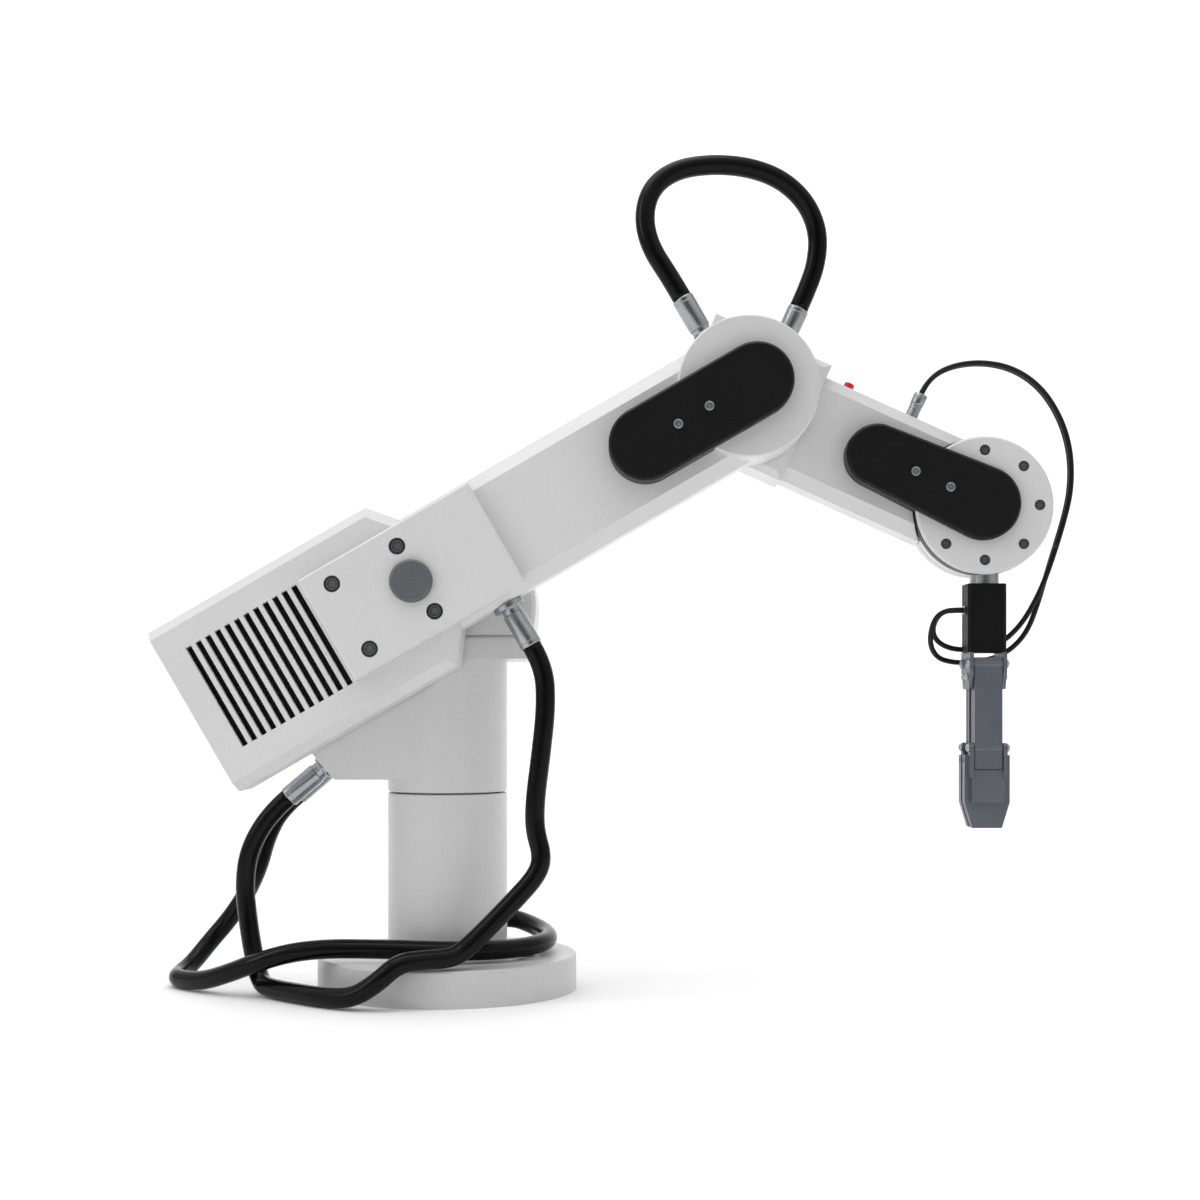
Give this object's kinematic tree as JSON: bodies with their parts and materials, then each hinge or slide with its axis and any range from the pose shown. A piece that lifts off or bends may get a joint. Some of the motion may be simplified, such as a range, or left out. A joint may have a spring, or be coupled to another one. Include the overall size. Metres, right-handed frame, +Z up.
{
  "type": "desktop robot arm",
  "caption": "Small articulated robot arm on a round base with a turning column, a side-hung upper arm and forearm, a wrist and a parallel gripper.",
  "frame": {"origin": "on the waist axis, in the plane that the base stands on", "axes": "+Z up along the waist axis; +X the way the arm reaches; the arm hangs on the -Y side of the column"},
  "size_m": [0.7032, 0.2206, 0.6258],
  "materials": {
    "arm_casting": "satin off-white enamel with a fine speckle",
    "base_casting": "satin off-white enamel with a fine speckle",
    "chrome_fitting": "polished chrome",
    "bright_ring": "turned bright steel",
    "black_cover": "moulded satin black",
    "dark_screw": "black oxide",
    "black_body": "matte black",
    "gripper_metal": "blue-grey anodised",
    "hose_rubber": "semi-gloss black hose",
    "cable_rubber": "satin black jacket",
    "red_button": "gloss red",
    "motor_steel": "machined",
    "steel_part": "ground steel",
    "belt_rubber": "matte toothed belt"
  },
  "bodies": {
    "base": {"base_plate": "base_casting", "base_hole_liners": "bright_ring", "column_tube": "base_casting", "waist_motor": "motor_steel", "waist_bearing": "steel_part", "column_hose_outlet": "arm_casting", "supply_hose": "hose_rubber"},
    "turret": {"turret_column": "arm_casting", "bed_plate": "arm_casting", "head_housing": "arm_casting", "shoulder_motor": "motor_steel", "turret_hose_fittings": "chrome_fitting", "arm_hose": "hose_rubber"},
    "upper_arm": {"upper_arm_beam": "arm_casting", "upper_arm_back_cover": "arm_casting", "motor_box": "arm_casting", "motor_box_back_cover": "arm_casting", "drive_unit": "motor_steel", "shoulder_shaft": "steel_part", "shoulder_plate": "arm_casting", "shoulder_plate_screws": "dark_screw", "shoulder_pivot_cap": "dark_screw", "elbow_disc": "arm_casting", "elbow_belt_cover": "black_cover", "upper_arm_cover_screws": "dark_screw", "elbow_motor": "motor_steel", "elbow_belt": "belt_rubber", "upper_arm_hose_fittings": "chrome_fitting"},
    "elbow_drive": {"elbow_drive_pulley": "motor_steel"},
    "forearm": {"elbow_block": "arm_casting", "elbow_shaft": "steel_part", "forearm_casing": "arm_casting", "cable_socket": "chrome_fitting", "wrist_belt_cover": "black_cover", "forearm_cover_screws": "dark_screw", "wrist_motor": "motor_steel", "wrist_belt": "belt_rubber", "forearm_hose_fitting": "chrome_fitting", "elbow_hose": "hose_rubber", "first_cable_upper": "cable_rubber", "second_cable_upper": "cable_rubber"},
    "button": {"forearm_button": "red_button"},
    "wrist_drive": {"wrist_drive_pulley": "motor_steel"},
    "wrist": {"wrist_front_disc": "arm_casting", "wrist_seal_ring": "black_cover", "wrist_disc_screws": "dark_screw", "wrist_hub": "steel_part"},
    "hand": {"roll_shaft": "chrome_fitting", "gripper_body": "black_body", "gripper_plug": "chrome_fitting", "gripper_bracket": "gripper_metal", "gripper_pins": "steel_part", "first_cable_lower": "cable_rubber", "second_cable_lower": "cable_rubber"},
    "front_outer": {"front_outer_link": "gripper_metal"},
    "front_inner": {"front_inner_link": "gripper_metal"},
    "front_jaw_body": {"front_jaw": "gripper_metal"},
    "rear_outer": {"rear_outer_link": "gripper_metal"},
    "rear_inner": {"rear_inner_link": "gripper_metal"},
    "rear_jaw_body": {"rear_jaw": "gripper_metal"}
  },
  "joints": [
    {"name": "waist", "type": "hinge", "parent": "base", "child": "turret", "pos_m": [0, 0, 0], "axis": [0, 0, 1], "range_deg": [-60, 60], "deforming": ["supply_hose", "arm_hose"]},
    {"name": "shoulder", "type": "hinge", "parent": "turret", "child": "upper_arm", "pos_m": [-0.0164, 0, 0.3072], "axis": [0, -1, 0], "range_deg": [-12, 40], "deforming": ["arm_hose"]},
    {"name": "elbow", "type": "hinge", "parent": "upper_arm", "child": "forearm", "pos_m": [0.22498, 0, 0.44712], "axis": [0, -1, 0], "range_deg": [-35, 50], "deforming": ["elbow_hose"]},
    {"name": "elbow_drive_spin", "type": "hinge", "parent": "upper_arm", "child": "elbow_drive", "pos_m": [0.15144, 0, 0.40449], "axis": [0, -1, 0], "range_deg": [-35, 50]},
    {"name": "button_press", "type": "slide", "parent": "forearm", "child": "button", "axis": [-0.4115, 0, -0.9114], "range_m": [0, 0.0015], "stiffness_N_per_m": 400, "springref_m": -0.001},
    {"name": "wrist_pitch", "type": "hinge", "parent": "forearm", "child": "wrist", "pos_m": [0.4027, 0, 0.36688], "axis": [0, -1, 0], "range_deg": [-45, 60], "deforming": ["first_cable_upper", "second_cable_upper"]},
    {"name": "wrist_drive_spin", "type": "hinge", "parent": "forearm", "child": "wrist_drive", "pos_m": [0.32241, 0, 0.40313], "axis": [0, -1, 0], "range_deg": [-45, 60]},
    {"name": "wrist_roll", "type": "hinge", "parent": "wrist", "child": "hand", "pos_m": [0.4052, -0.05225, 0.3075], "axis": [0, 0, 1], "range_deg": [-90, 90], "deforming": ["first_cable_lower", "second_cable_lower"]},
    {"name": "gripper", "type": "hinge", "parent": "hand", "child": "front_outer", "pos_m": [0.4052, -0.06455, 0.2495], "axis": [-1, 0, 0], "range_deg": [-2, 25]},
    {"name": "front_inner_pivot", "type": "hinge", "parent": "hand", "child": "front_inner", "pos_m": [0.4052, -0.05825, 0.2401], "axis": [-1, 0, 0], "range_deg": [-2, 25]},
    {"name": "front_jaw_pivot", "type": "hinge", "parent": "front_outer", "child": "front_jaw_body", "pos_m": [0.4052, -0.06455, 0.1874], "axis": [1, 0, 0], "range_deg": [-2, 25]},
    {"name": "rear_outer_pivot", "type": "hinge", "parent": "hand", "child": "rear_outer", "pos_m": [0.4052, -0.03995, 0.2495], "axis": [1, 0, 0], "range_deg": [-2, 25]},
    {"name": "rear_inner_pivot", "type": "hinge", "parent": "hand", "child": "rear_inner", "pos_m": [0.4052, -0.04625, 0.2401], "axis": [1, 0, 0], "range_deg": [-2, 25]},
    {"name": "rear_jaw_pivot", "type": "hinge", "parent": "rear_outer", "child": "rear_jaw_body", "pos_m": [0.4052, -0.03995, 0.1874], "axis": [-1, 0, 0], "range_deg": [-2, 25]}
  ],
  "couplings": [
    {"joint": "elbow_drive_spin", "follows": "elbow", "ratio": 1},
    {"joint": "wrist_drive_spin", "follows": "wrist_pitch", "ratio": 1},
    {"joint": "front_inner_pivot", "follows": "gripper", "ratio": 1},
    {"joint": "front_jaw_pivot", "follows": "gripper", "ratio": 1},
    {"joint": "rear_outer_pivot", "follows": "gripper", "ratio": 1},
    {"joint": "rear_inner_pivot", "follows": "gripper", "ratio": 1},
    {"joint": "rear_jaw_pivot", "follows": "gripper", "ratio": 1}
  ]
}
